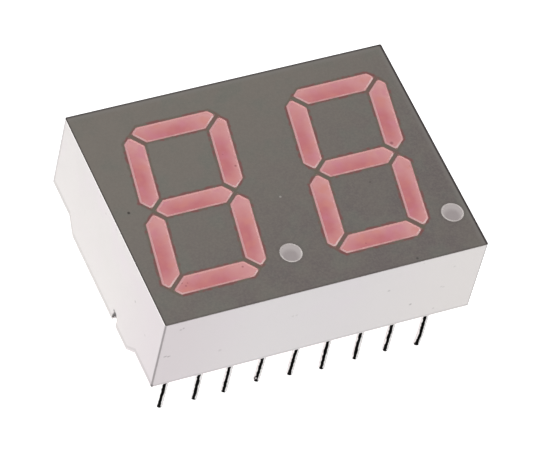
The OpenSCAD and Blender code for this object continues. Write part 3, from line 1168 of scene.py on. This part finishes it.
@dataclass
class FacePrint:
    """The ink on the face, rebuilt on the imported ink's outline, with its windows a little off."""

    margin: float = 0.2 * MM
    edge_round: float = 0.012 * MM
    finish: GreyInk = field(default_factory=GreyInk)

    def build(self, half: Vector, pattern: DigitPattern) -> bpy.types.Object:
        """Builds the ink as a closed layer.

        Args:
            half: Half the size of the face.
            pattern: The windows.

        Returns:
            The piece.
        """
        low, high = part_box("face_ink")
        mesh = Sheet("face_ink").mesh
        wide, tall = half.x - self.margin, half.y - self.margin
        inside = [v for v in mesh.verts if abs(v.co.x) < wide and abs(v.co.y) < tall]
        bmesh.ops.translate(mesh, verts=inside, vec=PRINT_DRIFT)
        rim = [e for e in mesh.edges if e.is_boundary]
        back = bmesh.ops.extrude_face_region(mesh, geom=mesh.faces[:], use_keep_orig=True)["geom"]
        moved = [v for v in back if isinstance(v, bmesh.types.BMVert)]
        bmesh.ops.translate(mesh, verts=moved, vec=(0, 0, low.z - high.z))
        round_edges(mesh, rim, self.edge_round)
        bmesh.ops.recalc_face_normals(mesh, faces=mesh.faces[:])
        piece = as_piece("face_print", mesh, self.finish.make(half, pattern))
        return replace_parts(piece, "face_ink")


@dataclass
class Bar:
    """One bar of a digit."""

    digit: Digit
    letter: str
    lie: Lie
    turn: float
    finish: RedResin = field(default_factory=RedResin)

    @property
    def name(self) -> str:
        """Returns the short name of the bar."""
        return f"{self.digit.value}_{self.letter}"

    @property
    def node(self) -> str:
        """Returns the name of the bar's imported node."""
        return f"{self.digit.value}_segment_{self.letter}"

    @property
    def centre(self) -> Vector:
        """Returns the middle of the bar."""
        return middle(self.node)

    def build(self) -> None:
        """Dresses the bar's resin."""
        dress(self.node, self.finish.make(self))


@dataclass
class Bead:
    """The bead of plastic that stands round a light cup, between the ink and the resin."""

    node: str
    finish: bpy.types.Material
    setback: float = 0.08 * MM
    crest: float = 0.02 * MM
    slope: float = 0.13 * MM
    height: float = 0.036 * MM
    foot: float = 0.004 * MM
    drift: tuple[float, float] = (0.03 * MM, 0.01 * MM)

    def build(self) -> bpy.types.Object:
        """Builds the bead from the outline of the resin that it encloses.

        Returns:
            The piece.
        """
        sheet = Sheet(self.node)
        face = sheet.one_face()
        bmesh.ops.delete(sheet.mesh, geom=sheet.ring(face, -self.setback, 0.0), context="FACES")
        sheet.ring(face, 0.0, self.height)
        sheet.ring(face, self.crest, 0.0)
        sheet.ring(face, self.slope, self.foot - self.height)
        bmesh.ops.translate(sheet.mesh, verts=face.verts[:], vec=(*self.drift, 0.0))
        sheet.ring(face, 0.0, -self.foot)
        bmesh.ops.delete(sheet.mesh, geom=[face], context="FACES_ONLY")
        bmesh.ops.bridge_loops(sheet.mesh, edges=[e for e in sheet.mesh.edges if e.is_boundary])
        bmesh.ops.translate(sheet.mesh, verts=sheet.mesh.verts, vec=PRINT_DRIFT)
        bmesh.ops.recalc_face_normals(sheet.mesh, faces=sheet.mesh.faces[:])
        facing = sheet.mesh.faces.layers.float_vector.new(FACING)
        for side in sheet.mesh.faces:
            side[facing] = side.normal
        return as_piece(f"{self.node}_bead", sheet.mesh, self.finish)


@dataclass
class DigitFace:
    """One digit: its seven bars, its decimal point and the beads round them."""

    digit: Digit
    bead: BeadPlastic
    point_lip: bpy.types.Material
    joint_reach: float = 1.3 * MM
    point_rise: float = 0.025 * MM
    point_slope: float = 0.1 * MM
    point_finish: ClearResin = field(default_factory=ClearResin)

    def bar_middle(self, letter: str) -> Vector:
        """Returns the middle of one of the digit's bars."""
        return middle(f"{self.digit.value}_segment_{letter}")

    def lean(self) -> float:
        """Returns the angle of the upright bars from the reading direction, in radians."""
        run = self.bar_middle("f") - self.bar_middle("e")
        return math.atan2(run.y, run.x)

    def joints(self) -> tuple[Spot, ...]:
        """Finds where the mitred ends of two bars meet.

        Returns:
            A spot at each such place.
        """
        level = middle("face_ink").z
        places = []
        for pole, beam in ("fa", "fg", "ba", "bg", "ed", "cd"):
            foot, across = self.bar_middle(pole), self.bar_middle(beam)
            x = foot.x + (across.y - foot.y) / math.tan(self.lean())
            places.append(Spot(x / MM, across.y / MM, level / MM, self.joint_reach / MM, 1.0))
        return tuple(places)

    def build(self) -> None:
        """Dresses the bars and the point, and builds the beads."""
        bead = self.bead.make(self.joints())
        for lie in Lie:
            turn = self.lean() if lie is Lie.UPRIGHT else 0.0
            for letter in lie.value:
                bar = Bar(self.digit, letter, lie, turn)
                bar.build()
                Bead(bar.node, bead).build()
        node = f"{self.digit.value}_point"
        resin = self.point_finish.make(f"clear_resin_{self.digit.value}", middle(node), half_width(node))
        dress(node, resin)
        Bead(node, self.point_lip, slope=self.point_slope, height=self.point_rise).build()


@dataclass(frozen=True)
class Bend:
    """How a pin is bent, in millimetres.

    The knee and the tip are moved along the row, forward moves the tip to the front, and hook
    moves the pin's last stretch further along the row.
    """

    knee: float
    tip: float
    forward: float = 0.0
    hook: float = 0.0


@dataclass
class PinRows:
    """The two rows of pins. The front row's are a little bent."""

    count: int = 18
    # Which way the painted dark reflection and the painted shade on the pins face.
    streak_facing: float = math.radians(-34.8)
    radius: float = 0.25 * MM
    root: float = 0.6 * MM
    knee: float = -1.2 * MM
    hook: float = 1.2 * MM
    cut_edge: float = 0.03 * MM
    bends: tuple[Bend, ...] = (
        Bend(-0.01, 0.02, -0.13), Bend(0.12, 0.17, -0.04), Bend(-0.04, -0.03),
        Bend(0.03, 0.09, -0.19), Bend(0.14, 0.12), Bend(0.11, 0.06, 0.2),
        Bend(0.21, 0.25, 0.1), Bend(0.2, 0.19, 0.09), Bend(0.35, 0.24, 0.27, -0.13),
    )
    finish: PinMetal = field(default_factory=PinMetal)
    pitch: float = field(init=False)
    spacing: float = field(init=False)
    tip: float = field(init=False)

    def __post_init__(self) -> None:
        """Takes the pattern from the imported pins."""
        first, last = middle("pin_1"), middle(f"pin_{self.count}")
        self.pitch = middle("pin_2").x - first.x
        self.spacing = last.y - first.y
        self.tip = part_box("pin_1")[0].z

    def bend(self, node: str, bend: Bend, metal: bpy.types.Material) -> bpy.types.Object:
        """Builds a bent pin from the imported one.

        Args:
            node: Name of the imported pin.
            bend: How it is bent.
            metal: Its finish.

        Returns:
            The piece.
        """
        mesh = welded(node)
        bmesh.ops.dissolve_limit(mesh, angle_limit=math.radians(1), verts=mesh.verts, edges=mesh.edges)
        for level in (self.root, self.knee, self.tip + self.hook):
            bmesh.ops.bisect_plane(
                mesh, geom=[*mesh.verts, *mesh.edges, *mesh.faces], dist=WELD,
                plane_co=(0, 0, level), plane_no=(0, 0, 1),
            )
        end = [e for e in mesh.edges if all(abs(v.co.z - self.tip) < WELD for v in e.verts)]
        round_edges(mesh, end, self.cut_edge)
        aside = mesh.verts.layers.float.new(PIN_ASIDE)
        ahead = mesh.verts.layers.float.new(PIN_AHEAD)
        for vert in mesh.verts:
            if vert.co.z > self.root - WELD:
                continue
            down = (self.knee - vert.co.z) / (self.knee - self.tip)
            hooked = max(0.0, 1.0 - (vert.co.z - self.tip) / self.hook)
            vert[aside] = (bend.knee + (bend.tip - bend.knee) * down + bend.hook * hooked) * MM
            vert[ahead] = -bend.forward * max(0.0, down) * MM
            vert.co.x += vert[aside]
            vert.co.y += vert[ahead]
        bmesh.ops.recalc_face_normals(mesh, faces=mesh.faces[:])
        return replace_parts(as_piece(f"{node}_bent", mesh, metal), node)

    def build(self) -> None:
        """Bends the pins of the front row and dresses those of the back row."""
        metal = self.finish.make(self)
        for number in range(1, self.count + 1):
            if number <= len(self.bends):
                self.bend(f"pin_{number}", self.bends[number - 1], metal)
            else:
                dress(f"pin_{number}", metal)


@dataclass
class Burr:
    """A burr of tin beside the cut tip of one pin, with a painted highlight in its middle and a painted
    dark reflection round it.
    """

    pin: str = "pin_4"
    offset: tuple[float, float, float] = (-0.16 * MM, -0.06 * MM, 0.66 * MM)
    radius: float = 0.12 * MM
    stretch: float = 1.4
    # Painted highlight in the middle of the burr.
    bright: Spot = Spot(-0.03, -0.06, 0.1, 0.09, 0.9)
    metal: PinMetal = field(default_factory=PinMetal)

    def build(self) -> bpy.types.Object:
        """Builds the burr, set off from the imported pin's tip.

        Returns:
            The piece.
        """
        tip = middle(self.pin)
        tip.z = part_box(self.pin)[0].z
        place = tip + Vector(self.offset)
        mesh = bmesh.new()
        bmesh.ops.create_uvsphere(mesh, u_segments=20, v_segments=12, radius=self.radius)
        bmesh.ops.scale(mesh, verts=mesh.verts, vec=(1.0, 1.0, self.stretch))
        bmesh.ops.translate(mesh, verts=mesh.verts, vec=place)
        g = Graph("tin_burr")
        # Painted highlight over the painted dark reflection.
        shine = g.spots(g.around(place, 0.0), (self.bright,))
        colour = g.blend(shine, self.metal.dark_reflection, self.metal.shaded)
        finish = g.surface(Base_Color=colour, Roughness=0.5, Specular_IOR_Level=0.05)
        return as_piece(f"{self.pin}_burr", mesh, finish)


@dataclass
class Circuit:
    """What lies behind the cups: board, copper, solder, dice, bond wires and sealing resin."""

    copper: Metal = Metal("copper", shade(232, 160, 110), shade(205, 122, 78), 0.3)
    solder: Metal = Metal("solder", shade(205, 206, 210), shade(160, 162, 168), 0.25)
    gold: Metal = Metal("gold_wire", shade(250, 205, 110), shade(235, 180, 85), 0.2)

    def build(self) -> None:
        """Dresses all of it."""
        dress("circuit_board", Laminate().make())
        dress("copper_tracks", self.copper.make())
        dress("solder_joints", self.solder.make())
        dress("bond_wires", self.gold.make())
        dress("sealing_resin", SealingResin().make())
        crystal = Crystal().make()
        for digit in Digit:
            for letter in [*"abcdefg", "point"]:
                dress(f"{digit.value}_die_{letter}", crystal)


# ---- Studio ----


@dataclass
class Camera:
    """Where the display is seen from."""

    aim: tuple[float, float] = (-2.01 * MM, -3.507 * MM)
    azimuth: float = -34.926
    elevation: float = 51.645
    roll: float = 14.822
    distance: float = 305.135 * MM
    lens: float = 288.72
    sensor: float = 36.0
    nearest: float = 0.01
    furthest: float = 10.0

    def build(self) -> None:
        """Makes the camera and gives it to the scene."""
        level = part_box("face_ink")[1].z
        side, up = math.radians(self.azimuth), math.radians(self.elevation)
        back = Vector((math.sin(side) * math.cos(up), -math.cos(side) * math.cos(up), math.sin(up)))
        upright = (-back).to_track_quat("-Z", "Y").to_matrix()
        turn = upright @ Matrix.Rotation(math.radians(self.roll), 3, "Z")
        data = bpy.data.cameras.new("camera")
        data.lens, data.sensor_width = self.lens, self.sensor
        data.clip_start, data.clip_end = self.nearest, self.furthest
        camera = add_object("camera", data)
        place = Vector((*self.aim, level)) + back * self.distance
        camera.matrix_world = Matrix.Translation(place) @ turn.to_4x4()
        bpy.context.scene.camera = camera


@dataclass
class SoftLight:
    """A large square lamp that points at the display."""

    name: str
    direction: tuple[float, float, float]
    power: float
    width: float = 0.5
    distance: float = 0.8

    def build(self) -> None:
        """Makes the lamp."""
        data = bpy.data.lights.new(self.name, "AREA")
        data.energy, data.size = self.power, self.width
        lamp = add_object(self.name, data)
        back = Vector(self.direction).normalized()
        turn = back.to_track_quat("Z", "Y").to_matrix().to_4x4()
        lamp.matrix_world = Matrix.Translation(back * self.distance) @ turn


@dataclass
class Studio:
    """A pale floor and soft light."""

    floor_half: float = 0.6
    floor_white: Colour = (0.5, 0.5, 0.5)
    floor_shade: Colour = times(floor_white, 0.99)
    floor_grain: float = 0.02
    floor_glow: float = 0.95
    white: Colour = (1.0, 1.0, 1.0)
    sky: float = 0.45
    key: SoftLight = field(default_factory=lambda: SoftLight("key", (-0.62, 0.5, 0.85), 4.0))
    fill: SoftLight = field(default_factory=lambda: SoftLight("fill", (-0.4, -0.9, 0.9), 2.5))

    def floor(self) -> None:
        """Lays the floor under the pins."""
        mesh = bmesh.new()
        bmesh.ops.create_grid(mesh, x_segments=1, y_segments=1, size=self.floor_half)
        bmesh.ops.translate(mesh, verts=mesh.verts, vec=(0, 0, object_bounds()[0].z))
        g = Graph("floor")
        grain = g.grain(g.place(), self.floor_grain, detail=3.0)
        paper = g.blend(grain, self.floor_white, self.floor_shade)
        finish = g.surface(
            Base_Color=paper, Roughness=0.9, Emission_Color=self.white, Emission_Strength=self.floor_glow,
        )
        floor = add_mesh("floor", mesh, finish)
        floor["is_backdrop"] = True

    def build(self) -> None:
        """Builds the floor, the lamps and the sky."""
        self.floor()
        self.key.build()
        self.fill.build()
        world = bpy.data.worlds.new("sky")
        world.use_nodes = True
        background = world.node_tree.nodes["Background"]
        background.inputs["Color"].default_value = (*self.white, 1.0)
        background.inputs["Strength"].default_value = self.sky
        bpy.context.scene.world = world
        bpy.context.scene.view_settings.view_transform = "Standard"


def main() -> None:
    """Builds the display's looks, the studio and the camera."""
    logging.basicConfig(level=logging.INFO, format="%(message)s")
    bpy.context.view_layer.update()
    Camera().build()
    housing = Housing()
    housing.build()
    clean, worn = shade(214, 207, 204, RESIN_SHARE), shade(196, 188, 186, RESIN_SHARE)
    point_lip = BeadPlastic("point_bead_plastic", clean, worn).make()
    FacePrint().build(housing.size / 2, DigitPattern())
    for digit in Digit:
        bead = BeadPlastic(f"bead_plastic_{digit.value}")
        DigitFace(digit, bead, point_lip).build()
    PinRows().build()
    Burr().build()
    Circuit().build()
    Studio().build()


if __name__ == "__main__":
    main()
